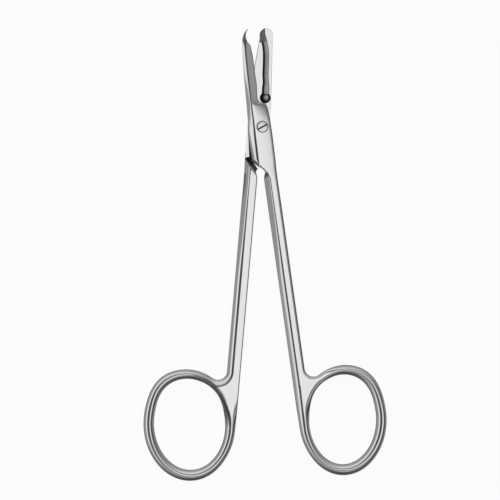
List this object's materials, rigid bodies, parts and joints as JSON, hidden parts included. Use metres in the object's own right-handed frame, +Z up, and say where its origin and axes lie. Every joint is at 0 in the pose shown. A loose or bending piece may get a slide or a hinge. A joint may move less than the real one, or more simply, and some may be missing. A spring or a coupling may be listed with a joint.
{
  "type": "suture scissors",
  "caption": "Small suture scissors with a hooked blade over a plain blade with a hollow, two slim shanks and closed finger rings, turning on a slotted joint screw.",
  "frame": {"origin": "on the axis of the joint screw, at the flat underside of the joint, which is the plane that the scissors rest on", "axes": "+Y towards the blade tips, +Z up out of the screw's head, +X to the right as seen from the screw's head with the tips up"},
  "size_m": [0.0692, 0.1289, 0.0038],
  "materials": {
    "blade_steel": "satin polished stainless steel",
    "screw_steel": "turned stainless steel, ground flush"
  },
  "bodies": {
    "plain_side": {"plain_half": "blade_steel", "joint_screw": "screw_steel"},
    "hook_side": {"hook_half": "blade_steel"}
  },
  "joints": [
    {"name": "scissor_hinge", "type": "hinge", "parent": "plain_side", "child": "hook_side", "pos_m": [0, 0, 0], "axis": [0, 0, 1], "range_deg": [-9.8, 70]}
  ]
}
